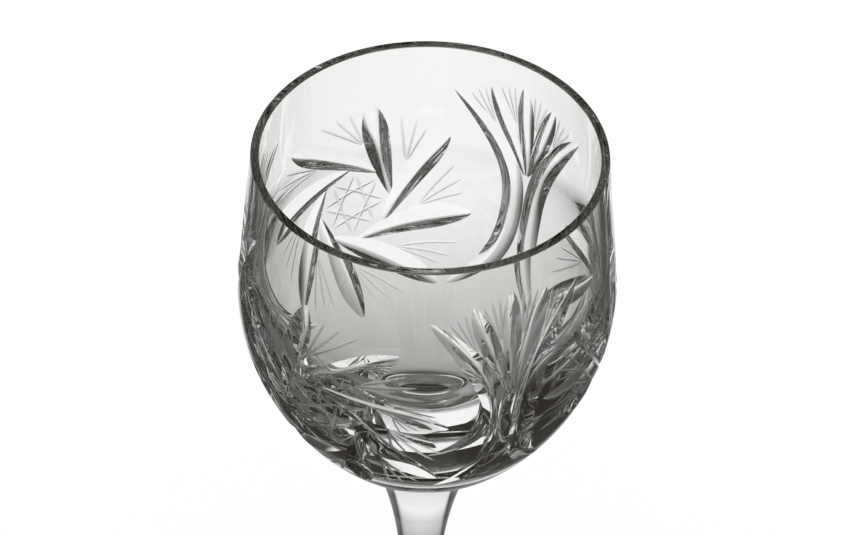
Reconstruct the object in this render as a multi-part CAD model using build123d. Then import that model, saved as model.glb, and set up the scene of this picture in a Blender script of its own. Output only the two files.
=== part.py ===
from build123d import *
import math
import os

# Whole glass, in millimetres, standing on z = 0 with its axis on Z
TOTAL_HEIGHT = 127.0
BOWL_HEIGHT = 59.1
FOOT_RISE = 6.0
WAIST_SHARE = 0.5

# Bowl blank: an even upper wall that widens downwards, a rounded belly and a thick round bottom
RIM_DIAMETER = 52.0
RIM_WALL = 1.3
RIM_EDGE = 0.3
BELLY_DIAMETER = 56.5
BELLY_DROP_SHARE = 0.43
BELLY_ROUNDING_SHARE = 1.09
BELLY_TURN = 22.0
SHOULDER_SHARE = 0.27
WALL_WEDGE = 0.8
BOTTOM_ROUNDING_SHARE = 0.86
BASE_THICKNESS = 9.1
SEAM_DIAMETER = 20.6

# Stem: waisted, flaring into the bowl above and the foot below
WAIST_DIAMETER = 6.2
BOWL_FLARE_SHARE = 0.16
WAIST_EASE_SHARE = 0.42
FOOT_FLARE_SHARE = 0.13
FOOT_FLARE_ANGLE = 35.0

# Foot: a low dome with a rounded edge, hollowed underneath
FOOT_DIAMETER = 58.0
FOOT_SEAM_DIAMETER = 11.0
FOOT_EDGE = 1.9
FOOT_SLOPE = 4.0
STANDING_RING = 2.6
HOLLOW_RISE = 1.2

# Cut pattern: star wheels and fans take turns around the bowl; shares are of the way down its outer wall
REPEATS = 3
FIRST_WHEEL_ANGLE = 116.8
MITRE_HALF_ANGLE = 55.0
MITRE_FLAT = 0.86
CUTTER_LIFT = 0.6

# Star wheel: vanes run clockwise past a round centre that stays uncut
WHEEL_SHARE = 0.477
WHEEL_VANES = 8
WHEEL_EYE_RADIUS = 6.5
VANE_ROOT_REACH = 2.0
VANE_LENGTH = 21.4
VANE_DEPTH = 1.3
FIRST_VANE_ANGLE = 79.0

# Fan: two curved cuts that close to a waist, with leaves between them above it
FAN_TOP_SHARE = 0.124
FAN_WAIST_SHARE = 0.46
FAN_BOTTOM_SHARE = 0.73
FAN_TOP_HALF = 12.6
FAN_WAIST_HALF = 2.0
FAN_BOTTOM_HALF = 10.2
FAN_DEPTH = 1.15
LEAF_ROOT_SHARE = 0.377
LEAF_DEPTH = 0.82
SIDE_LEAF_HALF = 5.9
SIDE_LEAF_TOP_SHARE = 0.093
MIDDLE_LEAF_TOP_SHARE = 0.067

# Heights and radii that follow from the sizes above
rim_radius = RIM_DIAMETER / 2
belly_radius = BELLY_DIAMETER / 2
seam_radius = SEAM_DIAMETER / 2
waist_radius = WAIST_DIAMETER / 2
seam_height = TOTAL_HEIGHT - BOWL_HEIGHT
belly_drop = BOWL_HEIGHT * BELLY_DROP_SHARE
belly_rounding = (BOWL_HEIGHT - belly_drop) * BELLY_ROUNDING_SHARE


def tangent_point(centre, radius, point):
    """Return where a line from a point outside a circle touches its outer side.

    Args:
        centre: circle centre as (r, z).
        radius: circle radius.
        point: point above the circle as (r, z).

    Returns:
        The touching point as (r, z).
    """
    away_r = point[0] - centre[0]
    away_z = point[1] - centre[1]
    distance = math.hypot(away_r, away_z)
    angle = math.atan2(away_z, away_r) - math.acos(radius / distance)
    return centre[0] + radius * math.cos(angle), centre[1] + radius * math.sin(angle)


# Outer outline of the bowl: rim, taper, belly arc, lower arc, seam
rim_top_outer = (rim_radius, TOTAL_HEIGHT - RIM_EDGE)
belly_centre = (belly_radius - belly_rounding, TOTAL_HEIGHT - belly_drop)
taper_end = tangent_point(belly_centre, belly_rounding, rim_top_outer)
turn = math.radians(BELLY_TURN)
belly_end = (
    belly_centre[0] + belly_rounding * math.cos(turn),
    belly_centre[1] - belly_rounding * math.sin(turn),
)
seam_edge = (seam_radius, seam_height)
chord = (seam_edge[0] - belly_end[0], seam_edge[1] - belly_end[1])
inward = (-math.cos(turn), math.sin(turn))
lower_rounding = (chord[0] ** 2 + chord[1] ** 2) / (2 * (chord[0] * inward[0] + chord[1] * inward[1]))
lower_centre = (belly_end[0] + inward[0] * lower_rounding, belly_end[1] + inward[1] * lower_rounding)
seam_slope = math.atan2(lower_centre[1] - seam_edge[1], seam_edge[0] - lower_centre[0])


# Lengths of the outer wall's three runs, from the rim down
taper_length = math.hypot(taper_end[0] - rim_top_outer[0], taper_end[1] - rim_top_outer[1])
taper_slope = math.atan2(taper_end[0] - rim_top_outer[0], rim_top_outer[1] - taper_end[1])
belly_length = belly_rounding * (taper_slope + turn)
lower_length = lower_rounding * (seam_slope - turn)
wall_length = taper_length + belly_length + lower_length


def on_wall(distance):
    """Return a point of the bowl's outer outline and the slope of its normal.

    Args:
        distance: way down the wall from the rim.

    Returns:
        The radius, the height and the normal's angle above the horizontal.
    """
    if distance <= taper_length:
        radius = rim_top_outer[0] + distance * math.sin(taper_slope)
        return radius, rim_top_outer[1] - distance * math.cos(taper_slope), taper_slope
    if distance <= taper_length + belly_length:
        centre, rounding = belly_centre, belly_rounding
        slope = taper_slope - (distance - taper_length) / belly_rounding
    else:
        centre, rounding = lower_centre, lower_rounding
        slope = -turn - (distance - taper_length - belly_length) / lower_rounding
    return centre[0] + rounding * math.cos(slope), centre[1] + rounding * math.sin(slope), slope


def on_bowl(angle, across, distance):
    """Return a point on the bowl's outside and the outward normal there.

    Args:
        angle: angle of the motif's middle around the axis, in degrees.
        across: distance to the right of the motif's middle, seen from outside.
        distance: way down the wall from the rim.

    Returns:
        The point and the normal.
    """
    radius, height, slope = on_wall(distance)
    turned = math.radians(angle) + across / radius
    out = math.cos(slope)
    point = Vector(radius * math.cos(turned), radius * math.sin(turned), height)
    return point, Vector(out * math.cos(turned), out * math.sin(turned), math.sin(slope))


def mitre(angle, path):
    """Return the V-shaped body that a cutting wheel with a worn edge removes along a path.

    Args:
        angle: angle of the motif's middle around the axis, in degrees.
        path: (across, distance, depth) stations along the cut.

    Returns:
        A solid that stands out of the bowl by the cutter's lift.
    """
    stations = [on_bowl(angle, across, distance) for across, distance, _ in path]
    spread = math.tan(math.radians(MITRE_HALF_ANGLE))
    sections = []
    for index, (point, normal) in enumerate(stations):
        before = stations[max(index - 1, 0)][0]
        after = stations[min(index + 1, len(stations) - 1)][0]
        side = normal.cross(after - before).normalized()
        depth = path[index][2]
        flat = side * (MITRE_FLAT / 2)
        half = flat + side * ((depth + CUTTER_LIFT) * spread)
        valley = point - normal * depth
        top = point + normal * CUTTER_LIFT
        corners = (valley - flat, valley + flat, top + half, top - half)
        sections.append(make_face(Polyline(*corners, close=True)))
    return loft(sections, ruled=True)


def blade_depth(share, deepest):
    """Return the depth of a straight cut that is thin at its root and full near its tip.

    Args:
        share: place along the cut, 0 at the root and 1 at the tip.
        deepest: largest depth.

    Returns:
        The depth, a little below zero at both ends so that the cut runs out.
    """
    fullest = 0.66
    if share < fullest:
        profile = math.sin(math.pi / 2 * share / fullest)
    else:
        profile = 1 - ((share - fullest) / (1 - fullest)) ** 2
    run_out = 0.12
    return (deepest + run_out) * profile - run_out


def straight_cut(angle, root, tip, deepest):
    """Return a straight tapered mitre cut.

    Args:
        angle: angle of the motif's middle around the axis, in degrees.
        root: (across, distance) of the thin end.
        tip: (across, distance) of the full end.
        deepest: largest depth.

    Returns:
        The cutter's solid.
    """
    shares = (0.0, 0.2, 0.45, 0.66, 0.85, 1.0)
    path = []
    for share in shares:
        across = root[0] + (tip[0] - root[0]) * share
        distance = root[1] + (tip[1] - root[1]) * share
        path.append((across, distance, blade_depth(share, deepest)))
    return mitre(angle, path)


def wheel_cuts(angle):
    """Return the vanes of one star wheel, each passing beside the uncut eye.

    Args:
        angle: angle of the wheel's middle around the axis, in degrees.

    Returns:
        A list of cutter solids.
    """
    middle = wall_length * WHEEL_SHARE
    cuts = []
    for index in range(WHEEL_VANES):
        heading = math.radians(FIRST_VANE_ANGLE - index * 360 / WHEEL_VANES)
        along = (math.cos(heading), math.sin(heading))
        root = (
            -along[1] * WHEEL_EYE_RADIUS - along[0] * VANE_ROOT_REACH,
            middle - along[0] * WHEEL_EYE_RADIUS + along[1] * VANE_ROOT_REACH,
        )
        tip = (root[0] + along[0] * VANE_LENGTH, root[1] - along[1] * VANE_LENGTH)
        cuts.append(straight_cut(angle, root, tip, VANE_DEPTH))
    return cuts


def waist_cut(angle, side):
    """Return one of the two curved cuts that close to a waist.

    Args:
        angle: angle of the fan's middle around the axis, in degrees.
        side: 1 for the right cut and -1 for the left, seen from outside.

    Returns:
        The cutter's solid.
    """
    waist = wall_length * FAN_WAIST_SHARE
    rise = waist - wall_length * FAN_TOP_SHARE
    fall = wall_length * FAN_BOTTOM_SHARE - waist
    path = []
    for station in (-1.0, -0.85, -0.55, -0.2, 0.2, 0.5, 0.75, 0.92, 1.0):
        if station > 0:
            across = FAN_WAIST_HALF + (FAN_TOP_HALF - FAN_WAIST_HALF) * station ** 2
            distance = waist - rise * station
        else:
            across = FAN_WAIST_HALF + (FAN_BOTTOM_HALF - FAN_WAIST_HALF) * abs(station) ** 3
            distance = waist - fall * station
        depth = (FAN_DEPTH + 0.15) * (1 - station ** 4) - 0.15
        path.append((side * across, distance, depth))
    return mitre(angle, path)


def fan_cuts(angle):
    """Return the curved cuts and the leaves of one fan.

    Args:
        angle: angle of the fan's middle around the axis, in degrees.

    Returns:
        A list of cutter solids.
    """
    root = (0.0, wall_length * LEAF_ROOT_SHARE)
    cuts = [waist_cut(angle, 1), waist_cut(angle, -1)]
    cuts.append(straight_cut(angle, root, (0.0, wall_length * MIDDLE_LEAF_TOP_SHARE), LEAF_DEPTH))
    for side in (1, -1):
        tip = (side * SIDE_LEAF_HALF, wall_length * SIDE_LEAF_TOP_SHARE)
        cuts.append(straight_cut(angle, root, tip, LEAF_DEPTH))
    return cuts


def on_circle(centre, radius, angle):
    """Return the point of a circle at an angle above the horizontal.

    Args:
        centre: circle centre as (r, z).
        radius: circle radius.
        angle: angle in radians.

    Returns:
        The point as (r, z).
    """
    return centre[0] + radius * math.cos(angle), centre[1] + radius * math.sin(angle)


def bowl_inside(rim_top_inner):
    """Return the bowl's inner outline, from the rim down to the axis.

    Args:
        rim_top_inner: top of the inner wall as (r, z).

    Returns:
        A list of edges, and the lowest point on the axis.
    """
    slope = taper_slope - math.radians(WALL_WEDGE)
    shoulder_height = TOTAL_HEIGHT - BOWL_HEIGHT * SHOULDER_SHARE
    fall = rim_top_inner[1] - shoulder_height
    shoulder = (rim_top_inner[0] + fall * math.tan(slope), shoulder_height)
    bottom = (0.0, seam_height + BASE_THICKNESS)
    bottom_rounding = shoulder[0] * BOTTOM_ROUNDING_SHARE
    bottom_centre = (0.0, bottom[1] + bottom_rounding)
    away = (shoulder[0], shoulder[1] - bottom_centre[1])
    lean = away[0] * math.cos(slope) + away[1] * math.sin(slope)
    square = away[0] ** 2 + away[1] ** 2
    rounding = (square - bottom_rounding ** 2) / (2 * (lean - bottom_rounding))
    centre = (shoulder[0] - rounding * math.cos(slope), shoulder[1] - rounding * math.sin(slope))
    joint_angle = math.atan2(bottom_centre[1] - centre[1], bottom_centre[0] - centre[0])
    joint = on_circle(centre, rounding, joint_angle)
    wall_middle = on_circle(centre, rounding, (slope + joint_angle) / 2)
    bottom_middle = on_circle(bottom_centre, bottom_rounding, (joint_angle - math.pi / 2) / 2)
    edges = [
        Line(rim_top_inner, shoulder),
        ThreePointArc(shoulder, wall_middle, joint),
        ThreePointArc(joint, bottom_middle, bottom),
    ]
    return edges, bottom


def bowl_blank():
    """Return the uncut bowl, turned from its outline."""
    rim_top_inner = (rim_radius - RIM_WALL, TOTAL_HEIGHT - RIM_EDGE)
    lip = (rim_radius - RIM_EDGE, TOTAL_HEIGHT)
    inner_lip = (rim_top_inner[0] + RIM_EDGE, TOTAL_HEIGHT)
    lip_middle = on_circle((lip[0], rim_top_outer[1]), RIM_EDGE, math.pi / 4)
    inner_lip_middle = on_circle((inner_lip[0], rim_top_inner[1]), RIM_EDGE, math.pi * 3 / 4)
    belly_middle = on_circle(belly_centre, belly_rounding, (taper_slope - turn) / 2)
    lower_middle = on_circle(lower_centre, lower_rounding, -(turn + seam_slope) / 2)
    inside, bottom = bowl_inside(rim_top_inner)
    outline = [
        Line((0.0, seam_height), seam_edge),
        ThreePointArc(seam_edge, lower_middle, belly_end),
        ThreePointArc(belly_end, belly_middle, taper_end),
        Line(taper_end, rim_top_outer),
        ThreePointArc(rim_top_outer, lip_middle, lip),
        Line(lip, inner_lip),
        ThreePointArc(inner_lip, inner_lip_middle, rim_top_inner),
        *inside,
        Line(bottom, (0.0, seam_height)),
    ]
    return turned(outline)


def turned(outline):
    """Return the solid turned from an outline drawn as radius and height.

    Args:
        outline: edges in the XY plane, x the radius and y the height.

    Returns:
        The solid around Z.
    """
    upright = Plane(origin=(0, 0, 0), x_dir=(1, 0, 0), z_dir=(0, -1, 0))
    return revolve(upright * make_face(outline), Axis.Z)


def stem_body():
    """Return the stem, from the seam under the bowl to the seam on the foot."""
    length = seam_height - FOOT_RISE
    waist_height = FOOT_RISE + length * WAIST_SHARE
    above = seam_height - waist_height
    below = waist_height - FOOT_RISE
    waist = (waist_radius, waist_height)
    foot_seam = (FOOT_SEAM_DIAMETER / 2, FOOT_RISE)
    flare = above * BOWL_FLARE_SHARE
    flare_handle = (
        seam_edge[0] - flare * math.sin(seam_slope),
        seam_edge[1] - flare * math.cos(seam_slope),
    )
    splay = math.radians(FOOT_FLARE_ANGLE)
    foot_flare = below * FOOT_FLARE_SHARE
    foot_handle = (
        foot_seam[0] - foot_flare * math.sin(splay),
        foot_seam[1] + foot_flare * math.cos(splay),
    )
    outline = [
        Line((0.0, FOOT_RISE), foot_seam),
        Bezier(foot_seam, foot_handle, (waist_radius, waist_height - below * WAIST_EASE_SHARE), waist),
        Bezier(waist, (waist_radius, waist_height + above * WAIST_EASE_SHARE), flare_handle, seam_edge),
        Line(seam_edge, (0.0, seam_height)),
        Line((0.0, seam_height), (0.0, FOOT_RISE)),
    ]
    return turned(outline)


def foot_body():
    """Return the foot, a low dome on a flat standing ring."""
    edge_round = FOOT_EDGE / 2
    edge = FOOT_DIAMETER / 2 - edge_round
    seam = (FOOT_SEAM_DIAMETER / 2, FOOT_RISE)
    splay = math.radians(FOOT_FLARE_ANGLE)
    slope = math.radians(FOOT_SLOPE)
    drop = (FOOT_RISE - FOOT_EDGE) * 0.7
    reach = (edge - seam[0]) * 0.6
    seam_handle = (seam[0] + drop * math.tan(splay), seam[1] - drop)
    edge_handle = (edge - reach, FOOT_EDGE + reach * math.tan(slope))
    ring_inner = edge - STANDING_RING
    hollow_rounding = (ring_inner ** 2 + HOLLOW_RISE ** 2) / (2 * HOLLOW_RISE)
    half_way = ring_inner / 2
    hollow_middle = (
        half_way,
        math.sqrt(hollow_rounding ** 2 - half_way ** 2) - hollow_rounding + HOLLOW_RISE,
    )
    outline = [
        Line((0.0, FOOT_RISE), seam),
        Bezier(seam, seam_handle, edge_handle, (edge, FOOT_EDGE)),
        ThreePointArc((edge, FOOT_EDGE), (FOOT_DIAMETER / 2, edge_round), (edge, 0.0)),
        Line((edge, 0.0), (ring_inner, 0.0)),
        ThreePointArc((ring_inner, 0.0), hollow_middle, (0.0, HOLLOW_RISE)),
        Line((0.0, HOLLOW_RISE), (0.0, FOOT_RISE)),
    ]
    return turned(outline)


def cut_bowl():
    """Return the bowl with its cut pattern repeated around it."""
    step = 360 / REPEATS
    bowl = bowl_blank()
    for repeat in range(REPEATS):
        wheel_angle = FIRST_WHEEL_ANGLE + repeat * step
        for cut in wheel_cuts(wheel_angle) + fan_cuts(wheel_angle + step / 2):
            bowl = bowl - cut
    return bowl


os.makedirs("parts", exist_ok=True)
export_step(cut_bowl(), "parts/bowl.step")
export_step(stem_body(), "parts/stem.step")
export_step(foot_body(), "parts/foot.step")
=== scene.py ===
import logging
import math
import random
from dataclasses import dataclass, field
from enum import Enum
from typing import Any, Callable, Iterable, Sequence

import bmesh
import bpy
import numpy as np
from mathutils import Matrix, Vector


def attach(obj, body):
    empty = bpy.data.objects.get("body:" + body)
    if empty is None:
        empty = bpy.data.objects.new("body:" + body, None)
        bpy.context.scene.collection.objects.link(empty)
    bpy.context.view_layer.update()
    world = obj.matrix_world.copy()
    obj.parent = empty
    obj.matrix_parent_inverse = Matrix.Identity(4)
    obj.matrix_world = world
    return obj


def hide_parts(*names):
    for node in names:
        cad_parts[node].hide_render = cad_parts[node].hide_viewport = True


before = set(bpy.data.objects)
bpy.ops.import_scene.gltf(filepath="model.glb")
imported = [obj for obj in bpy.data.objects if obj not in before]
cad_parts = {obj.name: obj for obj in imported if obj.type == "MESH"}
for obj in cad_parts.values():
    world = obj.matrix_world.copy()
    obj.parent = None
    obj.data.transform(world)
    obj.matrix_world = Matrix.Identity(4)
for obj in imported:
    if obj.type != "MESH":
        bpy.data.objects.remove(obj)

LOG = logging.getLogger("sherry_glass")
MM = 0.001
BODY = "root"
FINISH_ATTRIBUTE = "finish"

Point = tuple[float, float]
Colour = tuple[float, float, float]


class Finish(Enum):
    """The ways in which a face of the glass is finished."""

    CRYSTAL = 0
    FACET = 1
    FINE_CUT = 2
    SEAM = 3
    # the rim, whose glass is tinted dark as painted shade
    RIM = 4


def add_object(name: str, data: bpy.types.ID) -> bpy.types.Object:
    """Add an object to the scene.

    Args:
        name: its name.
        data: its mesh, curve, light or camera.

    Returns:
        The object.
    """
    made = bpy.data.objects.new(name, data)
    bpy.context.scene.collection.objects.link(made)
    return made


def read_array(items: Any, name: str, width: int = 1, kind: type = float) -> np.ndarray:
    """Read one property of all items of a mesh.

    Args:
        items: the mesh's faces, corners or vertices.
        name: the property's name.
        width: how many numbers it has.
        kind: type of these numbers.

    Returns:
        One number or one row for each item.
    """
    values = np.empty(len(items) * width, dtype=kind)
    items.foreach_get(name, values)
    return values.reshape(-1, width) if width > 1 else values


class Tree:
    """A node tree under construction, for a shader or for geometry."""

    def __init__(self, tree: bpy.types.NodeTree) -> None:
        """Start from an empty tree.

        Args:
            tree: the tree whose nodes are replaced.
        """
        self.tree = tree
        tree.nodes.clear()

    def node(self, kind: str, inputs: dict[str | int, Any] | None = None, **settings: Any) -> bpy.types.Node:
        """Add a node, set it up and feed its sockets.

        Args:
            kind: the node's type name.
            inputs: socket name or index to what feeds it.
            settings: properties that are set before the sockets.

        Returns:
            The new node.
        """
        node = self.tree.nodes.new(kind)
        for name, value in settings.items():
            setattr(node, name, value)
        for key, value in (inputs or {}).items():
            self.feed(node.inputs[key], value)
        return node

    def feed(self, socket: bpy.types.NodeSocket, value: Any) -> None:
        """Link a socket or set its constant.

        Args:
            socket: the input that is fed.
            value: a wrapped value, a socket, a node whose first output counts, or a constant.
        """
        if isinstance(value, Value):
            value = value.socket
        elif isinstance(value, bpy.types.Node):
            value = value.outputs[0]
        if isinstance(value, bpy.types.NodeSocket):
            self.tree.links.new(value, socket)
        else:
            socket.default_value = value


def math_operator(operation: str, swapped: bool = False) -> Callable[["Value", Any], "Value"]:
    """Make a method that adds one Math node.

    Args:
        operation: the Math node's operation.
        swapped: whether the value is the second operand, as in a reflected operator.

    Returns:
        The method, which takes the other operand and gives the node's result.
    """

    def method(value: "Value", other: Any) -> "Value":
        """Return the result of the operation on this and other."""
        first, second = (other, value) if swapped else (value, other)
        node = value.tree.node("ShaderNodeMath", {0: first, 1: second}, operation=operation)
        return Value(value.tree, node.outputs[0])

    return method


@dataclass(frozen=True)
class Value:
    """A number that travels along a node link, with operators that add Math nodes."""

    tree: Tree
    socket: bpy.types.NodeSocket

    __add__ = math_operator("ADD")
    __radd__ = math_operator("ADD", swapped=True)
    __sub__ = math_operator("SUBTRACT")
    __rsub__ = math_operator("SUBTRACT", swapped=True)
    __mul__ = math_operator("MULTIPLY")
    __rmul__ = math_operator("MULTIPLY", swapped=True)
    __truediv__ = math_operator("DIVIDE")
    __rtruediv__ = math_operator("DIVIDE", swapped=True)
    __pow__ = math_operator("POWER")
    __rpow__ = math_operator("POWER", swapped=True)
    largest = math_operator("MAXIMUM")
    smallest = math_operator("MINIMUM")

    def clip(self) -> "Value":
        """Return this, held between 0 and 1."""
        return self.largest(0.0).smallest(1.0)


class Shader(Tree):
    """A material's or world's node tree."""

    @classmethod
    def for_material(cls, name: str) -> tuple["Shader", bpy.types.Material]:
        """Start a new material.

        Args:
            name: the material's name.

        Returns:
            Its tree and the material.
        """
        material = bpy.data.materials.new(name)
        material.use_nodes = True
        return cls(material.node_tree), material

    def value(self, node: bpy.types.Node, output: str | int) -> Value:
        """Wrap a node's output so that it can be used in an expression.

        Args:
            node: the node.
            output: name or index of its output.

        Returns:
            The wrapped output.
        """
        return Value(self, node.outputs[output])

    def noise(self, scale: float, detail: float) -> Value:
        """Add a noise pattern on Object coordinates.

        Args:
            scale: features per metre, roughly.
            detail: octaves.

        Returns:
            The noise value, 0 to 1.
        """
        place = self.node("ShaderNodeTexCoord").outputs["Object"]
        noise = self.node("ShaderNodeTexNoise", {"Vector": place, "Scale": scale, "Detail": detail})
        return self.value(noise, 0)

    def end(self, surface: bpy.types.Node, kind: str = "Material") -> None:
        """Make a node the surface that the tree gives.

        Args:
            surface: the node.
            kind: Material or World.
        """
        self.node("ShaderNodeOutput" + kind, {"Surface": surface})


@dataclass(frozen=True)
class GlassFinish:
    """Clear crystal, polished or left matt, with or without a faint waviness."""

    name: str
    colour: Colour = (0.99, 0.99, 0.98)
    roughness: float = 0.0
    roughness_spread: float = 0.0
    ripple_scale: float = 70.0
    ripple_depth: float = 0.0
    ripple_detail: float = 2.0
    patch_share: float = 0.5
    patch_detail: float = 3.0
    ior: float = 1.545

    def build(self) -> bpy.types.Material:
        """Return the material."""
        shader, material = Shader.for_material(self.name)
        inputs: dict[str | int, Any] = {
            "Base Color": (*self.colour, 1.0),
            "IOR": self.ior,
            "Transmission Weight": 1.0,
            "Roughness": self.roughness,
        }
        if self.ripple_depth > 0:
            ripple = shader.noise(self.ripple_scale, self.ripple_detail)
            depth = self.ripple_depth * MM
            bump = {"Strength": 1.0, "Distance": depth, "Height": ripple}
            inputs["Normal"] = shader.node("ShaderNodeBump", bump)
        if self.roughness_spread > 0:
            patches = shader.noise(self.ripple_scale * self.patch_share, self.patch_detail)
            inputs["Roughness"] = self.roughness + (patches - 0.5) * self.roughness_spread
        shader.end(shader.node("ShaderNodeBsdfPrincipled", inputs))
        return material


@dataclass(frozen=True)
class SeamFinish:
    """Where two gathers of glass have run together, so that nothing shows."""

    name: str = "fused_seam"

    def build(self) -> bpy.types.Material:
        """Return the material."""
        shader, material = Shader.for_material(self.name)
        shader.end(shader.node("ShaderNodeBsdfPrincipled", {"Alpha": 0.0}))
        return material


class Finishes:
    """The glass's materials, one for each finish."""

    def __init__(self) -> None:
        """Build the materials; the rim is tinted dark, painted shade for the dark surroundings that light
        piped down the wall under it reaches.
        """
        fine = {"roughness": 0.38, "roughness_spread": 0.15, "ripple_scale": 2500.0, "ripple_depth": 0.006}
        self.materials: dict[Finish, bpy.types.Material] = {
            Finish.CRYSTAL: GlassFinish("polished_crystal", ripple_depth=0.004).build(),
            Finish.FACET: GlassFinish("polished_cut").build(),
            Finish.FINE_CUT: GlassFinish("matt_fine_cut", **fine).build(),
            Finish.SEAM: SeamFinish().build(),
            # the rim's dark tint is painted shade, not the glass's own colour
            Finish.RIM: GlassFinish("polished_rim", (0.22, 0.21, 0.18)).build(),
        }

    def dress(self, mesh: bpy.types.Mesh, finish_of_face: np.ndarray) -> None:
        """Give each face of a mesh the material of its finish.

        Args:
            mesh: the mesh.
            finish_of_face: a Finish value for each face.
        """
        used = [finish for finish in Finish if np.any(finish_of_face == finish.value)]
        slot_of_finish = {finish.value: slot for slot, finish in enumerate(used)}
        mesh.materials.clear()
        for finish in used:
            mesh.materials.append(self.materials[finish])
        slots = np.array([slot_of_finish[value] for value in finish_of_face], dtype=np.int32)
        mesh.polygons.foreach_set("material_index", slots)


class OutlineRun:
    """A stretch of an outline, in millimetres of radius and height."""

    def points(self) -> np.ndarray:
        """Return the run's points, end included."""
        raise NotImplementedError

    def nearest(self, places: np.ndarray) -> tuple[np.ndarray, np.ndarray]:
        """Return the run's nearest point to each place and the outward normal there.

        Args:
            places: rows of (radius, height).

        Returns:
            Rows of (radius, height), and rows of (radial, upward) parts.
        """
        raise NotImplementedError

    def distance(self, places: np.ndarray) -> np.ndarray:
        """Return how far places are from the run.

        Args:
            places: rows of (radius, height).

        Returns:
            One distance for each row.
        """
        return np.linalg.norm(places - self.nearest(places)[0], axis=1)


@dataclass(frozen=True)
class LineRun(OutlineRun):
    """A straight run of an outline."""

    start: Point
    end: Point
    rows: int
    finish: Finish = Finish.CRYSTAL

    def points(self) -> np.ndarray:
        """Return the run's points, end included."""
        share = np.linspace(0.0, 1.0, self.rows + 1)[:, None]
        return np.array(self.start) * (1 - share) + np.array(self.end) * share

    def nearest(self, places: np.ndarray) -> tuple[np.ndarray, np.ndarray]:
        """Return nearest points and normals, as every run does."""
        start = np.array(self.start)
        along = np.array(self.end) - start
        share = np.clip((places - start) @ along / (along @ along), 0.0, 1.0)
        out = np.array((along[1], -along[0])) / np.linalg.norm(along)
        return start + share[:, None] * along, np.repeat(out[None], len(places), axis=0)


@dataclass(frozen=True)
class ArcRun(OutlineRun):
    """A round run of an outline, from one angle about its centre to another."""

    centre: Point
    radius: float
    start_angle: float
    end_angle: float
    rows: int
    finish: Finish = Finish.CRYSTAL

    def _at(self, angle: np.ndarray) -> np.ndarray:
        """Return the circle's points at some angles.

        Args:
            angle: the angles.

        Returns:
            Rows of (radius, height).
        """
        return np.array(self.centre) + self.radius * np.stack((np.cos(angle), np.sin(angle)), axis=1)

    def points(self) -> np.ndarray:
        """Return the run's points, end included."""
        return self._at(np.linspace(self.start_angle, self.end_angle, self.rows + 1))

    def nearest(self, places: np.ndarray) -> tuple[np.ndarray, np.ndarray]:
        """Return nearest points and normals, as every run does."""
        away = places - np.array(self.centre)
        middle = (self.start_angle + self.end_angle) / 2
        reach = abs(self.end_angle - self.start_angle) / 2
        turn = (np.arctan2(away[:, 1], away[:, 0]) - middle + np.pi) % (2 * np.pi) - np.pi
        side = 1.0 if self.end_angle > self.start_angle else -1.0
        out = side * away / np.linalg.norm(away, axis=1, keepdims=True)
        return self._at(middle + np.clip(turn, -reach, reach)), out


@dataclass(frozen=True)
class SweepRun(OutlineRun):
    """A run of an outline that eases from one direction to another, a cubic curve."""

    start: Point
    leave: Point
    arrive: Point
    end: Point
    rows: int
    finish: Finish = Finish.CRYSTAL
    samples: int = 800
    block: int = 4096

    def _curve(self, count: int) -> tuple[np.ndarray, np.ndarray]:
        """Return points and outward normals along the curve.

        Args:
            count: number of points.

        Returns:
            The points and the normals.
        """
        t = np.linspace(0.0, 1.0, count)[:, None]
        a, b, c, d = (np.array(p) for p in (self.start, self.leave, self.arrive, self.end))
        points = a * (1 - t) ** 3 + 3 * b * t * (1 - t) ** 2 + 3 * c * t * t * (1 - t) + d * t ** 3
        along = (b - a) * (1 - t) ** 2 + 2 * (c - b) * t * (1 - t) + (d - c) * t * t
        out = np.stack((along[:, 1], -along[:, 0]), axis=1)
        return points, out / np.linalg.norm(out, axis=1, keepdims=True)

    def points(self) -> np.ndarray:
        """Return the run's points, end included."""
        return self._curve(self.rows + 1)[0]

    def nearest(self, places: np.ndarray) -> tuple[np.ndarray, np.ndarray]:
        """Return nearest points and normals, as every run does, a block of places at a time."""
        points, out = self._curve(self.samples)
        number = np.empty(len(places), dtype=np.int64)
        for low in range(0, len(places), self.block):
            some = slice(low, low + self.block)
            number[some] = np.linalg.norm(places[some, None] - points[None], axis=2).argmin(axis=1)
        return points[number], out[number]


class GeometryTree(Tree):
    """A Geometry Nodes tree with named inputs."""

    def __init__(self, name: str, inputs: dict[str, str]) -> None:
        """Start a tree that takes and gives geometry.

        Args:
            name: the tree's name.
            inputs: name of each further input to the kind of its socket.
        """
        super().__init__(bpy.data.node_groups.new(name, "GeometryNodeTree"))
        self.tree.is_modifier = True
        face = self.tree.interface
        face.new_socket("Geometry", in_out="OUTPUT", socket_type="NodeSocketGeometry")
        for label, kind in {"Geometry": "Geometry", **inputs}.items():
            face.new_socket(label, in_out="INPUT", socket_type="NodeSocket" + kind)
        self.given = self.node("NodeGroupInput").outputs
        self.outlet = self.node("NodeGroupOutput")

    def run(self, piece: bpy.types.Object, values: dict[str, Any]) -> None:
        """Run the tree on an object and keep the result as its plain mesh.

        Args:
            piece: the object, which ends without the modifier.
            values: input name to value.
        """
        modifier = piece.modifiers.new(self.tree.name, "NODES")
        modifier.node_group = self.tree
        for item in self.tree.interface.items_tree:
            if item.in_out == "INPUT" and item.name in values:
                modifier[item.identifier] = values[item.name]
        graph = bpy.context.evaluated_depsgraph_get()
        made = bpy.data.meshes.new_from_object(piece.evaluated_get(graph), depsgraph=graph)
        piece.modifiers.remove(modifier)
        old = piece.data
        piece.data = made
        made.name = piece.name
        bpy.data.meshes.remove(old)


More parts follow.
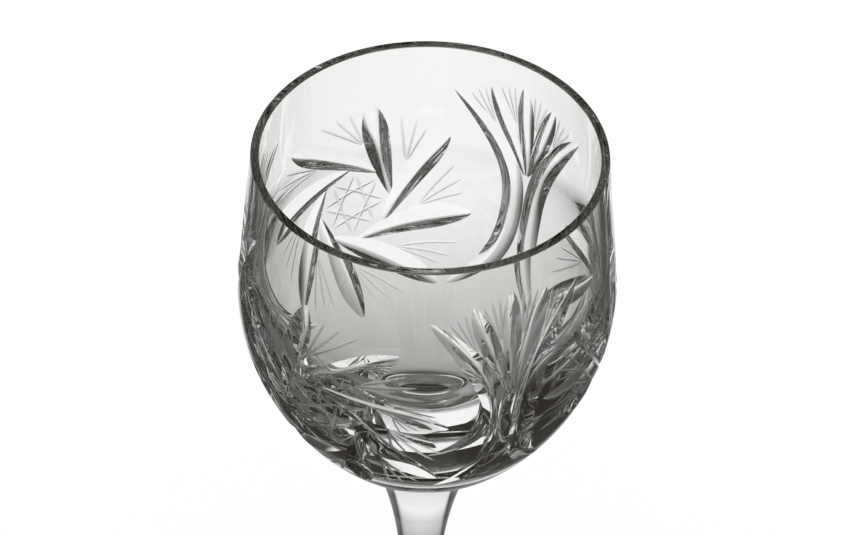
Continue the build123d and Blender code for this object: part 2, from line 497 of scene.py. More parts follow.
class LatheTree(GeometryTree):
    """Turns an outline around Z, as a blower shapes hot glass on a turning rod."""

    guide_radius = 10 * MM
    weld = 0.002 * MM

    def __init__(self) -> None:
        """Build the tree."""
        super().__init__("lathe", {"Outline": "Object", "Segments": "Int", "Crystal": "Material"})
        drawn = self.node("GeometryNodeObjectInfo", {"Object": self.given["Outline"]}).outputs["Geometry"]
        circle = {"Resolution": self.given["Segments"], "Radius": self.guide_radius}
        ring = self.node("GeometryNodeCurvePrimitiveCircle", circle)
        swept = self.node("GeometryNodeCurveToMesh", {"Curve": ring, "Profile Curve": drawn})
        closed = self.node("GeometryNodeMergeByDistance", {"Geometry": swept, "Distance": self.weld})
        smooth = self.node("GeometryNodeSetShadeSmooth", {"Geometry": closed})
        whole = self.node("GeometryNodeRealizeInstances", {"Geometry": smooth})
        dressed = {"Geometry": whole, "Material": self.given["Crystal"]}
        self.feed(self.outlet.inputs["Geometry"], self.node("GeometryNodeSetMaterial", dressed))


class CutTree(GeometryTree):
    """Repeats the cuts of one part of the pattern around Z and takes them out of a blank."""

    finishes = {"Facet": Finish.FACET, "Fine cut": Finish.FINE_CUT}

    def __init__(self) -> None:
        """Build the tree."""
        materials = dict.fromkeys(self.finishes, "Material")
        super().__init__("cut_pattern", {"Cuts": "Object", "Repeats": "Int", "Step": "Float", **materials})
        line = {"Count": self.given["Repeats"], "Offset": (0.0, 0.0, 0.0)}
        places = self.node("GeometryNodeMeshLine", line)
        angle = Value(self, self.node("GeometryNodeInputIndex").outputs[0]) * self.given["Step"]
        euler = self.node("ShaderNodeCombineXYZ", {"Z": angle})
        turn = self.node("FunctionNodeEulerToRotation", {"Euler": euler})
        cutters = self.node("GeometryNodeObjectInfo", {"Object": self.given["Cuts"], "As Instance": True})
        around = {"Points": places, "Instance": cutters.outputs["Geometry"], "Rotation": turn}
        repeated = self.node("GeometryNodeInstanceOnPoints", around)
        apart = self.node("GeometryNodeRealizeInstances", {"Geometry": repeated})
        both = {"Mesh 1": self.given["Geometry"], "Mesh 2": apart, "Self Intersection": True}
        cut = self.node("GeometryNodeMeshBoolean", both, operation="DIFFERENCE", solver="EXACT")
        result = self.node("GeometryNodeRealizeInstances", {"Geometry": cut})
        for label, finish in self.finishes.items():
            mark = self.node("GeometryNodeInputNamedAttribute", {"Name": FINISH_ATTRIBUTE}, data_type="INT")
            match = {2: mark.outputs["Attribute"], 3: finish.value}
            chosen = self.node("FunctionNodeCompare", match, data_type="INT", operation="EQUAL")
            dressed = {"Geometry": result, "Selection": chosen, "Material": self.given[label]}
            result = self.node("GeometryNodeSetMaterial", dressed)
        self.feed(self.outlet.inputs["Geometry"], result)


@dataclass
class TurnedGlass:
    """A piece of glass that is round about Z, made from one closed outline."""

    finishes: Finishes
    name: str
    node: str
    slot: str
    segments: int = 192

    def runs(self) -> list[OutlineRun]:
        """Return the outline, from the axis at the bottom out, up and back to the axis."""
        raise NotImplementedError

    def blank(self) -> bpy.types.Object:
        """Return the uncut piece, with its faces outwards."""
        rows = [run.points()[:-1] for run in self.runs()]
        rows.append(self.runs()[-1].points()[-1:])
        path = np.concatenate(rows)
        curve = bpy.data.curves.new("outline", "CURVE")
        curve.dimensions = "3D"
        spline = curve.splines.new("POLY")
        spline.points.add(len(path) - 1)
        for point, (radius, height) in zip(spline.points, path):
            point.co = (radius * MM - LatheTree.guide_radius, -height * MM, 0.0, 1.0)
        outline = add_object("outline", curve)
        piece = add_object(self.name, bpy.data.meshes.new(self.name))
        crystal = self.finishes.materials[Finish.CRYSTAL]
        LatheTree().run(piece, {"Outline": outline, "Segments": self.segments, "Crystal": crystal})
        bpy.data.objects.remove(outline)
        bpy.data.curves.remove(curve)
        work = bmesh.new()
        work.from_mesh(piece.data)
        bmesh.ops.recalc_face_normals(work, faces=work.faces[:])
        work.to_mesh(piece.data)
        work.free()
        return piece

    def polish(self, piece: bpy.types.Object) -> None:
        """Give each face its finish and each turned face its exact normals.

        Args:
            piece: the object.
        """
        mesh = piece.data
        finish_of_face = self._cut_finish(mesh)
        centres = read_array(mesh.polygons, "center", 3) / MM
        section = np.stack((np.hypot(centres[:, 0], centres[:, 1]), centres[:, 2]), axis=1)
        runs = self.runs()
        run_of_face = np.argmin([run.distance(section) for run in runs], axis=0)
        turned = finish_of_face == Finish.CRYSTAL.value
        for number, run in enumerate(runs):
            finish_of_face[turned & (run_of_face == number)] = run.finish.value
        self.finishes.dress(mesh, finish_of_face)
        self._crease(mesh, finish_of_face)
        self._set_normals(mesh, runs, np.where(turned, run_of_face, -1))

    def _cut_finish(self, mesh: bpy.types.Mesh) -> np.ndarray:
        """Read which faces were cut from their materials.

        Args:
            mesh: the mesh.

        Returns:
            A Finish value for each face.
        """
        values = {material.name: finish.value for finish, material in self.finishes.materials.items()}
        value_of_slot = [values[material.name] if material else 0 for material in mesh.materials] or [0]
        slots = read_array(mesh.polygons, "material_index", kind=np.int32)
        return np.array(value_of_slot, dtype=np.int32)[slots]

    @staticmethod
    def _crease(mesh: bpy.types.Mesh, finish_of_face: np.ndarray, angle: float = 0.3) -> None:
        """Make edges sharp where the finish changes or the surface bends.

        Args:
            mesh: the mesh.
            finish_of_face: a Finish value for each face.
            angle: bend above which an edge is sharp, in radians.
        """
        work = bmesh.new()
        work.from_mesh(mesh)
        work.faces.ensure_lookup_table()
        for face in work.faces:
            face.smooth = True
        for edge in work.edges:
            sides = [face.index for face in edge.link_faces]
            mixed = len(sides) != 2 or finish_of_face[sides[0]] != finish_of_face[sides[1]]
            edge.smooth = not (mixed or edge.calc_face_angle(0.0) > angle)
        work.to_mesh(mesh)
        work.free()

    @staticmethod
    def _set_normals(mesh: bpy.types.Mesh, runs: Sequence[OutlineRun], run_of_face: np.ndarray) -> None:
        """Set the corner normals, exact on the turned faces.

        Args:
            mesh: the mesh, with its sharp edges marked.
            runs: the outline.
            run_of_face: number of each face's run, or -1 on a cut face.
        """
        normals = read_array(mesh.corner_normals, "vector", 3)
        vertex = read_array(mesh.loops, "vertex_index", kind=np.int32)
        sides = read_array(mesh.polygons, "loop_total", kind=np.int32)
        run_of_corner = np.repeat(run_of_face, sides)
        places = read_array(mesh.vertices, "co", 3)[vertex] / MM
        radius = np.hypot(places[:, 0], places[:, 1])
        section = np.stack((radius, places[:, 2]), axis=1)
        smallest_radius = 1e-6
        spoke = places[:, :2] / np.maximum(radius, smallest_radius)[:, None]
        for number, run in enumerate(runs):
            chosen = run_of_corner == number
            if np.any(chosen):
                out = run.nearest(section[chosen])[1]
                normals[chosen, :2] = out[:, :1] * spoke[chosen]
                normals[chosen, 2] = out[:, 1]
        mesh.normals_split_custom_set([tuple(normal) for normal in normals])

    def place(self, piece: bpy.types.Object) -> None:
        """Let the piece stand for its solid and ride on the glass.

        Args:
            piece: the finished object.
        """
        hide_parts(self.node)
        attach(piece, BODY)
        triangles = sum(len(face.vertices) - 2 for face in piece.data.polygons)
        LOG.info("%s: %d faces, %d triangles", piece.name, len(piece.data.polygons), triangles)


@dataclass(frozen=True)
class Station:
    """One place along a cut, seen from outside the bowl, in millimetres."""

    across: float
    distance: float
    depth: float


@dataclass
class Bowl(TurnedGlass):
    """The thick blown bowl, before and after cutting."""

    name: str = "bowl_glass"
    node: str = "bowl"
    slot: str = "cut_crystal"
    segments: int = 288
    rim_height: float = 127.0
    seam_height: float = 67.9
    rim_radius: float = 26.0
    rim_wall: float = 1.3
    rim_edge: float = 0.3
    belly_radius: float = 28.25
    belly_drop_share: float = 0.43
    belly_rounding_share: float = 1.09
    belly_turn: float = math.radians(22.0)
    shoulder_share: float = 0.27
    wall_wedge: float = math.radians(0.8)
    bottom_share: float = 0.86
    base_thickness: float = 9.1
    seam_radius: float = 10.3

    def __post_init__(self) -> None:
        """Work out the outer wall's arcs."""
        height = self.rim_height - self.seam_height
        drop = height * self.belly_drop_share
        self.rim_outer = (self.rim_radius, self.rim_height - self.rim_edge)
        self.rim_inner = (self.rim_radius - self.rim_wall, self.rim_outer[1])
        self.belly_rounding = (height - drop) * self.belly_rounding_share
        self.belly_centre = (self.belly_radius - self.belly_rounding, self.rim_height - drop)
        away = (self.rim_outer[0] - self.belly_centre[0], self.rim_outer[1] - self.belly_centre[1])
        self.taper_slope = math.atan2(away[1], away[0]) - math.acos(self.belly_rounding / math.hypot(*away))
        self.taper_end = self._spoke(self.belly_centre, self.belly_rounding, self.taper_slope)
        belly_end = self._spoke(self.belly_centre, self.belly_rounding, -self.belly_turn)
        inward = (-math.cos(self.belly_turn), math.sin(self.belly_turn))
        chord = (self.seam_radius - belly_end[0], self.seam_height - belly_end[1])
        lean = chord[0] * inward[0] + chord[1] * inward[1]
        self.lower_rounding = (chord[0] ** 2 + chord[1] ** 2) / (2 * lean)
        self.lower_centre = (
            belly_end[0] + inward[0] * self.lower_rounding,
            belly_end[1] + inward[1] * self.lower_rounding,
        )
        self.seam_slope = math.atan2(
            self.lower_centre[1] - self.seam_height,
            self.seam_radius - self.lower_centre[0],
        )
        self.taper_length = math.dist(self.rim_outer, self.taper_end)
        self.belly_length = self.belly_rounding * (self.taper_slope + self.belly_turn)
        self.lower_length = self.lower_rounding * (self.seam_slope - self.belly_turn)
        self.wall_length = self.taper_length + self.belly_length + self.lower_length

    @staticmethod
    def _spoke(centre: Point, radius: float, angle: float) -> Point:
        """Return the point of a circle at an angle.

        Args:
            centre: the circle's centre.
            radius: the circle's radius.
            angle: angle above the horizontal.

        Returns:
            The point.
        """
        return centre[0] + radius * math.cos(angle), centre[1] + radius * math.sin(angle)

    def runs(self) -> list[OutlineRun]:
        """Return the bowl's outline."""
        quarter = math.pi / 2
        edge = self.rim_edge
        seam_edge = (self.seam_radius, self.seam_height)
        lower = (-self.seam_slope, -self.belly_turn)
        belly = (-self.belly_turn, self.taper_slope)
        lip = (self.rim_radius - edge, self.rim_height)
        inner_lip = (self.rim_inner[0] + edge, self.rim_height)
        return [
            LineRun((0.0, self.seam_height), seam_edge, 8, Finish.SEAM),
            ArcRun(self.lower_centre, self.lower_rounding, *lower, 34),
            ArcRun(self.belly_centre, self.belly_rounding, *belly, 22),
            LineRun(self.taper_end, self.rim_outer, 24),
            ArcRun((lip[0], self.rim_outer[1]), edge, 0.0, quarter, 6, Finish.RIM),
            LineRun(lip, inner_lip, 3, Finish.RIM),
            ArcRun((inner_lip[0], self.rim_inner[1]), edge, quarter, math.pi, 6, Finish.RIM),
            *self._inside(),
        ]

    def _inside(self) -> list[OutlineRun]:
        """Return the inside: even upper wall, an arc that thickens it, and a round bottom."""
        slope = self.taper_slope - self.wall_wedge
        drop = (self.rim_height - self.seam_height) * self.shoulder_share
        fall = self.rim_inner[1] - (self.rim_height - drop)
        shoulder = (self.rim_inner[0] + fall * math.tan(slope), self.rim_height - drop)
        bottom_rounding = shoulder[0] * self.bottom_share
        bottom_centre = (0.0, self.seam_height + self.base_thickness + bottom_rounding)
        out = (math.cos(slope), math.sin(slope))
        away = (shoulder[0], shoulder[1] - bottom_centre[1])
        lean = away[0] * out[0] + away[1] * out[1]
        square = away[0] ** 2 + away[1] ** 2
        rounding = (square - bottom_rounding ** 2) / (2 * (lean - bottom_rounding))
        centre = (shoulder[0] - rounding * out[0], shoulder[1] - rounding * out[1])
        joint = math.atan2(bottom_centre[1] - centre[1], -centre[0])
        return [
            LineRun(self.rim_inner, shoulder, 8),
            ArcRun(centre, rounding, slope, joint, 30),
            ArcRun(bottom_centre, bottom_rounding, joint, -math.pi / 2, 28),
        ]

    def on_wall(self, distance: float) -> tuple[float, float, float]:
        """Return a point of the outer wall and the slope of its normal.

        Args:
            distance: way down the wall from the rim.

        Returns:
            The radius, the height and the normal's angle above the horizontal.
        """
        if distance <= self.taper_length:
            radius = self.rim_outer[0] + distance * math.sin(self.taper_slope)
            return radius, self.rim_outer[1] - distance * math.cos(self.taper_slope), self.taper_slope
        past = distance - self.taper_length
        if past <= self.belly_length:
            slope = self.taper_slope - past / self.belly_rounding
            return *self._spoke(self.belly_centre, self.belly_rounding, slope), slope
        slope = -self.belly_turn - (past - self.belly_length) / self.lower_rounding
        return *self._spoke(self.lower_centre, self.lower_rounding, slope), slope

    def on_outside(self, angle: float, across: float, distance: float) -> tuple[Vector, Vector]:
        """Return a point on the outside and the outward normal there.

        Args:
            angle: angle of the motif's middle about the axis.
            across: distance to the right of that middle, seen from outside.
            distance: way down the wall from the rim.

        Returns:
            The point and the normal.
        """
        radius, height, slope = self.on_wall(distance)
        turned = angle + across / radius
        out = math.cos(slope)
        point = Vector((radius * math.cos(turned), radius * math.sin(turned), height))
        return point, Vector((out * math.cos(turned), out * math.sin(turned), math.sin(slope)))

    def cut(self, piece: bpy.types.Object, pattern: "Pattern") -> None:
        """Take the pattern out of the blank.

        Args:
            piece: the blank.
            pattern: the cut pattern.
        """
        cutters = pattern.cutters(self)
        step = 2 * math.pi / pattern.repeats
        materials = {label: self.finishes.materials[finish] for label, finish in CutTree.finishes.items()}
        CutTree().run(piece, {"Cuts": cutters, "Repeats": pattern.repeats, "Step": step, **materials})
        mesh = cutters.data
        bpy.data.objects.remove(cutters)
        bpy.data.meshes.remove(mesh)


class CutterSet:
    """The V-shaped bodies that the cutting wheels remove, gathered in one mesh."""

    lift = 0.6
    lift_step = 0.011
    lift_cycle = 17
    fine_lift = 0.4
    rounded_steps = 10

    def __init__(self, bowl: Bowl, half_angle: float, edge_radius: float, fine_angle: float) -> None:
        """Start with no cuts.

        Args:
            bowl: the bowl whose outside the cuts follow.
            half_angle: half the angle between a deep cut's two flanks.
            edge_radius: radius of the cutting wheel's worn edge, which rounds a deep cut's bottom.
            fine_angle: half the angle between a fine cut's two flanks.
        """
        self.bowl = bowl
        self.spread = math.tan(half_angle)
        self.fine_spread = math.tan(fine_angle)
        self.worn = edge_radius / self.spread ** 2
        self.work = bmesh.new()
        self.mark = self.work.faces.layers.int.new(FINISH_ATTRIBUTE)
        self.count = 0

    def add(self, angle: float, stations: Sequence[Station], finish: Finish) -> None:
        """Add one cut.

        Args:
            angle: angle of the motif's middle about the axis.
            stations: places along the cut.
            finish: finish of its facets.
        """
        lift = self.lift + self.lift_step * (self.count % self.lift_cycle)
        if finish == Finish.FINE_CUT:
            lift *= self.fine_lift
        self.count += 1
        frames = [self.bowl.on_outside(angle, s.across, s.distance) for s in stations]
        rows = []
        for index, (point, normal) in enumerate(frames):
            before = frames[max(index - 1, 0)][0]
            after = frames[min(index + 1, len(frames) - 1)][0]
            side = normal.cross(after - before).normalized()
            section = self._section(stations[index].depth, lift, finish)
            corners = [point + side * across + normal * up for across, up in section]
            rows.append([self.work.verts.new(corner * MM) for corner in corners])
        faces = [self.work.faces.new(rows[0]), self.work.faces.new(rows[-1][::-1])]
        for low, high in zip(rows, rows[1:]):
            for left in range(len(low)):
                right = (left + 1) % len(low)
                faces.append(self.work.faces.new((low[right], low[left], high[left], high[right])))
        for face in faces:
            face[self.mark] = finish.value

    def _section(self, depth: float, lift: float, finish: Finish) -> list[Point]:
        """Return a cut's cross-section, from one side over the bottom to the other.

        Args:
            depth: depth of the bottom below the outside.
            lift: height of the two ends above the outside.
            finish: a fine cut has a sharp bottom, a facet a rounded one.

        Returns:
            Points as (across, up).
        """
        rise = depth + lift
        if finish == Finish.FINE_CUT:
            half = rise * self.fine_spread
            return [(-half, lift), (0.0, -depth), (half, lift)]
        reach = math.acosh(1 + rise / self.worn)
        steps = np.linspace(-reach, reach, self.rounded_steps + 1)
        spread = self.spread * self.worn
        return [(spread * math.sinh(u), self.worn * (math.cosh(u) - 1) - depth) for u in steps]

    def finish(self) -> bpy.types.Object:
        """Return the gathered cutters as an object."""
        bmesh.ops.recalc_face_normals(self.work, faces=self.work.faces[:])
        mesh = bpy.data.meshes.new("cutters")
        self.work.to_mesh(mesh)
        self.work.free()
        LOG.info("cutters: %d cuts in one part of the pattern", self.count)
        return add_object("cutters", mesh)


@dataclass(frozen=True)
class Stroke:
    """A straight cut, whose depth changes along it."""

    deepest: float
    run_out: float
    stations: int

    def fullness(self, share: float) -> float:
        """Return how deep the cut is at a share of its way, where 1 is deepest.

        Args:
            share: 0 at the root and 1 at the tip.

        Returns:
            The depth's share, 0 where the cutter has left the glass by its run-out.
        """
        raise NotImplementedError

    def along(self, root: Point, tip: Point) -> list[Station]:
        """Return the cut's stations.

        Args:
            root: (across, distance) of one end.
            tip: (across, distance) of the other end.

        Returns:
            The stations from root to tip.
        """
        made = []
        for share in np.linspace(0.0, 1.0, self.stations):
            across = root[0] + (tip[0] - root[0]) * share
            distance = root[1] + (tip[1] - root[1]) * share
            depth = (self.deepest + self.run_out) * self.fullness(share) - self.run_out
            made.append(Station(across, distance, depth))
        return made


@dataclass(frozen=True)
class Blade(Stroke):
    """A tapered cut, thin at its root and full near its tip."""

    run_out: float = 0.12
    stations: int = 13
    fullest: float = 0.66

    def fullness(self, share: float) -> float:
        """Return how deep the cut is, as every stroke does."""
        if share < self.fullest:
            return math.sin(math.pi / 2 * share / self.fullest)
        return 1 - ((share - self.fullest) / (1 - self.fullest)) ** 2


@dataclass(frozen=True)
class Scratch(Stroke):
    """A fine line of almost even depth."""

    deepest: float = 0.06
    run_out: float = 0.03
    stations: int = 7

    def fullness(self, share: float) -> float:
        """Return how deep the line is, as every stroke does."""
        return 1 - abs(2 * share - 1) ** 6


@dataclass(frozen=True)
class StarWheel:
    """Eight vanes that swirl past a star, with fine lines fanned between them."""

    share: float = 0.477
    vanes: int = 8
    eye_radius: float = 6.5
    root_reach: float = 2.0
    vane_length: float = 21.4
    vane_depth: float = 1.3
    first_vane: float = math.radians(79.0)
    star_radius: float = 5.7
    star_depth: float = 0.08
    star_skip: int = 3
    star_turn: float = math.radians(8.0)
    ray_root_radius: float = 11.0
    ray_root_lead: float = math.radians(5.0)
    ray_radius: float = 19.0
    ray_lags: tuple[float, ...] = (math.radians(10.0), math.radians(18.0), math.radians(27.0))
    ray_wobble: float = 0.5

    def cut(self, cutters: CutterSet, angle: float, hand: random.Random) -> None:
        """Add the wheel's cuts.

        Args:
            cutters: where the cuts are gathered.
            angle: angle of the wheel's middle about the axis.
            hand: the cutter's unsteadiness.
        """
        middle = cutters.bowl.wall_length * self.share
        vane = Blade(self.vane_depth)
        line = Scratch()
        for number in range(self.vanes):
            heading = self.first_vane - number * 2 * math.pi / self.vanes
            along = (math.cos(heading), math.sin(heading))
            root = (
                -along[1] * self.eye_radius - along[0] * self.root_reach,
                along[0] * self.eye_radius - along[1] * self.root_reach,
            )
            tip = (root[0] + along[0] * self.vane_length, root[1] + along[1] * self.vane_length)
            stations = vane.along((root[0], middle - root[1]), (tip[0], middle - tip[1]))
            cutters.add(angle, stations, Finish.FACET)
            tip_angle = math.atan2(tip[1], tip[0])
            fork = self._polar(self.ray_root_radius, tip_angle + self.ray_root_lead, middle)
            for lag in self.ray_lags:
                reach = self.ray_radius + hand.uniform(-self.ray_wobble, self.ray_wobble)
                end = self._polar(reach, tip_angle - lag, middle)
                cutters.add(angle, line.along(fork, end), Finish.FINE_CUT)
        line = Scratch(self.star_depth)
        for number in range(self.vanes):
            start = self.star_turn + number * 2 * math.pi / self.vanes
            end = start + self.star_skip * 2 * math.pi / self.vanes
            ends = [self._polar(self.star_radius, turn, middle) for turn in (start, end)]
            cutters.add(angle, line.along(*ends), Finish.FINE_CUT)

    @staticmethod
    def _polar(radius: float, turn: float, middle: float) -> Point:
        """Return a place at a radius and an angle about the wheel's middle.

        Args:
            radius: distance from the middle.
            turn: angle from the right, anticlockwise seen from outside.
            middle: way down the wall to the wheel's middle.

        Returns:
            The place as (across, distance).
        """
        return radius * math.cos(turn), middle - radius * math.sin(turn)


@dataclass(frozen=True)
class Fan:
    """Two curved cuts that close to a waist, with leaves and fine lines between them."""

    top_share: float = 0.124
    waist_share: float = 0.46
    bottom_share: float = 0.73
    top_half: float = 12.6
    waist_half: float = 2.0
    bottom_half: float = 10.2
    depth: float = 1.15
    leaf_root_share: float = 0.377
    leaf_depth: float = 0.82
    side_leaf_half: float = 5.9
    side_leaf_top_share: float = 0.093
    middle_leaf_top_share: float = 0.067
    ray_forks: tuple[Point, ...] = ((1.6, 13.6), (5.2, 14.9))
    ray_tips: tuple[tuple[Point, ...], ...] = (
        ((1.9, 5.0), (3.2, 5.3), (4.5, 6.1)),
        ((7.2, 6.6), (8.4, 7.5), (9.6, 8.3)),
    )
    ray_wobble: float = 0.4
    run_out: float = 0.15
    stations: int = 31

    def cut(self, cutters: CutterSet, angle: float, hand: random.Random) -> None:
        """Add the fan's cuts.

        Args:
            cutters: where the cuts are gathered.
            angle: angle of the fan's middle about the axis.
            hand: the cutter's unsteadiness.
        """
        wall = cutters.bowl.wall_length
        leaf = Blade(self.leaf_depth)
        line = Scratch()
        root = (0.0, wall * self.leaf_root_share)
        cuts = [leaf.along(root, (0.0, wall * self.middle_leaf_top_share))]
        for side in (1, -1):
            cuts.append(self._waist(wall, side))
            cuts.append(leaf.along(root, (side * self.side_leaf_half, wall * self.side_leaf_top_share)))
        for stations in cuts:
            cutters.add(angle, stations, Finish.FACET)
        for side in (1, -1):
            for fork, tips in zip(self.ray_forks, self.ray_tips):
                for tip in tips:
                    reach = tip[1] + hand.uniform(-self.ray_wobble, self.ray_wobble)
                    stations = line.along((side * fork[0], fork[1]), (side * tip[0], reach))
                    cutters.add(angle, stations, Finish.FINE_CUT)

    def _waist(self, wall: float, side: int) -> list[Station]:
        """Return one of the two curved cuts.

        Args:
            wall: length of the bowl's outer wall.
            side: 1 for the right cut and -1 for the left, seen from outside.

        Returns:
            The stations from the bottom tip to the top tip.
        """
        waist = wall * self.waist_share
        rise = waist - wall * self.top_share
        fall = wall * self.bottom_share - waist
        made = []
        for station in np.linspace(-1.0, 1.0, self.stations):
            if station > 0:
                across = self.waist_half + (self.top_half - self.waist_half) * station ** 2
                distance = waist - rise * station
            else:
                across = self.waist_half + (self.bottom_half - self.waist_half) * abs(station) ** 3
                distance = waist - fall * station
            depth = (self.depth + self.run_out) * (1 - station ** 4) - self.run_out
            made.append(Station(side * across, distance, depth))
        return made


@dataclass(frozen=True)
class Pattern:
    """Star wheels and fans that take turns around the bowl."""

    repeats: int = 3
    first_wheel: float = math.radians(116.8)
    half_angle: float = math.radians(55.0)
    edge_radius: float = 0.7
    fine_angle: float = math.radians(76.0)
    seed: int = 11
    wheel: StarWheel = field(default_factory=StarWheel)
    fan: Fan = field(default_factory=Fan)

    def cutters(self, bowl: Bowl) -> bpy.types.Object:
        """Return the cutters of one wheel and the fan beside it.

        Args:
            bowl: the bowl that is cut.

        Returns:
            The cutters as one object.
        """
        hand = random.Random(self.seed)
        gathered = CutterSet(bowl, self.half_angle, self.edge_radius, self.fine_angle)
        self.wheel.cut(gathered, self.first_wheel, hand)
        self.fan.cut(gathered, self.first_wheel + math.pi / self.repeats, hand)
        return gathered.finish()


@dataclass
class Stem(TurnedGlass):
    """The plain waisted stem."""

    name: str = "stem_glass"
    node: str = "stem"
    slot: str = "clear_crystal"
    top: float = 67.9
    bottom: float = 6.0
    top_radius: float = 10.3
    top_slope: float = math.radians(52.9)
    waist_radius: float = 3.1
    waist_share: float = 0.5
    bowl_flare_share: float = 0.16
    waist_ease_share: float = 0.42
    foot_flare_share: float = 0.13
    foot_flare_angle: float = math.radians(35.0)
    bottom_radius: float = 5.5

    def runs(self) -> list[OutlineRun]:
        """Return the stem's outline."""
        middle = self.bottom + (self.top - self.bottom) * self.waist_share
        above = self.top - middle
        below = middle - self.bottom
        foot_flare = below * self.foot_flare_share
        bowl_flare = above * self.bowl_flare_share
        foot_seam = (self.bottom_radius, self.bottom)
        bowl_seam = (self.top_radius, self.top)
        waist = (self.waist_radius, middle)
        foot_handle = (
            self.bottom_radius - foot_flare * math.sin(self.foot_flare_angle),
            self.bottom + foot_flare * math.cos(self.foot_flare_angle),
        )
        bowl_handle = (
            self.top_radius - bowl_flare * math.sin(self.top_slope),
            self.top - bowl_flare * math.cos(self.top_slope),
        )
        low_ease = (self.waist_radius, middle - below * self.waist_ease_share)
        high_ease = (self.waist_radius, middle + above * self.waist_ease_share)
        return [
            LineRun((0.0, self.bottom), foot_seam, 5, Finish.SEAM),
            SweepRun(foot_seam, foot_handle, low_ease, waist, 36),
            SweepRun(waist, high_ease, bowl_handle, bowl_seam, 44),
            LineRun(bowl_seam, (0.0, self.top), 8, Finish.SEAM),
        ]


@dataclass
class Foot(TurnedGlass):
    """The round foot, hollowed underneath."""

    name: str = "foot_glass"
    node: str = "foot"
    slot: str = "clear_crystal"
    rise: float = 6.0
    radius: float = 29.0
    seam_radius: float = 5.5
    edge: float = 1.9
    flare_angle: float = math.radians(35.0)
    slope: float = math.radians(4.0)
    standing_ring: float = 2.6
    hollow_rise: float = 1.2
    seam_ease_share: float = 0.7
    edge_ease_share: float = 0.6

    def runs(self) -> list[OutlineRun]:
        """Return the foot's outline, from the hollow's middle out, up and in to the stem."""
        edge_round = self.edge / 2
        edge = self.radius - edge_round
        ring = edge - self.standing_ring
        hollow = (ring ** 2 + self.hollow_rise ** 2) / (2 * self.hollow_rise)
        hollow_centre = (0.0, self.hollow_rise - hollow)
        hollow_turn = math.asin(ring / hollow)
        fall = (self.rise - self.edge) * self.seam_ease_share
        reach = (edge - self.seam_radius) * self.edge_ease_share
        seam = (self.seam_radius, self.rise)
        seam_handle = (self.seam_radius + fall * math.tan(self.flare_angle), self.rise - fall)
        edge_handle = (edge - reach, self.edge + reach * math.tan(self.slope))
        quarter = math.pi / 2
        return [
            ArcRun(hollow_centre, hollow, quarter, quarter - hollow_turn, 20),
            LineRun((ring, 0.0), (edge, 0.0), 4),
            ArcRun((edge, edge_round), edge_round, -quarter, quarter, 16),
            SweepRun((edge, self.edge), edge_handle, seam_handle, seam, 40),
            LineRun(seam, (0.0, self.rise), 5, Finish.SEAM),
        ]


@dataclass(frozen=True)
class PhotoCamera:
    """The camera, above the near side of the glass and tilted a little about its own axis."""

    lens: float = 146.8
    sensor: float = 36.0
    position: tuple[float, float, float] = (0.0, -384.0, 452.6)
    aim: tuple[float, float, float] = (0.0, 0.0, 104.6)
    roll: float = math.radians(1.417)
    clip_start: float = 0.01

    def build(self) -> None:
        """Add the camera and make it the scene's."""
        data = bpy.data.cameras.new("camera")
        data.lens = self.lens
        data.sensor_width = self.sensor
        data.clip_start = self.clip_start
        camera = add_object("camera", data)
        ahead = (Vector(self.aim) - Vector(self.position)).normalized()
        level = ahead.cross(Vector((0.0, 0.0, 1.0))).normalized()
        above = level.cross(ahead)
        right = level * math.cos(self.roll) + above * math.sin(self.roll)
        up = above * math.cos(self.roll) - level * math.sin(self.roll)
        turn = Matrix((right, up, -ahead)).transposed()
        camera.matrix_world = Matrix.Translation(Vector(self.position) * MM) @ turn.to_4x4()
        bpy.context.scene.camera = camera


@dataclass(frozen=True)
class Lamp:
    """A soft lamp that faces the glass and that the camera doesn't see.

    The bearing is in degrees from straight behind the glass, the elevation in degrees above the table,
    and a brightness of 1 is white.
    """

    name: str
    bearing: float
    elevation: float
    size: Point
    brightness: float
    distance: float = 1.2
    aim_height: float = 0.1

    def build(self) -> None:
        """Add the lamp."""
        turn = math.radians(self.bearing)
        rise = math.radians(self.elevation)
        data = bpy.data.lights.new(self.name, "AREA")
        data.shape = "RECTANGLE"
        data.size, data.size_y = self.size
        data.energy = self.brightness * math.pi * self.size[0] * self.size[1]
        lamp = add_object(self.name, data)
        aim = Vector((0.0, 0.0, self.aim_height))
        flat = self.distance * math.cos(rise)
        away = Vector((flat * math.sin(turn), flat * math.cos(turn), self.distance * math.sin(rise)))
        lamp.location = aim + away
        lamp.rotation_euler = (aim - lamp.location).to_track_quat("-Z", "Y").to_euler()
        lamp.visible_camera = False


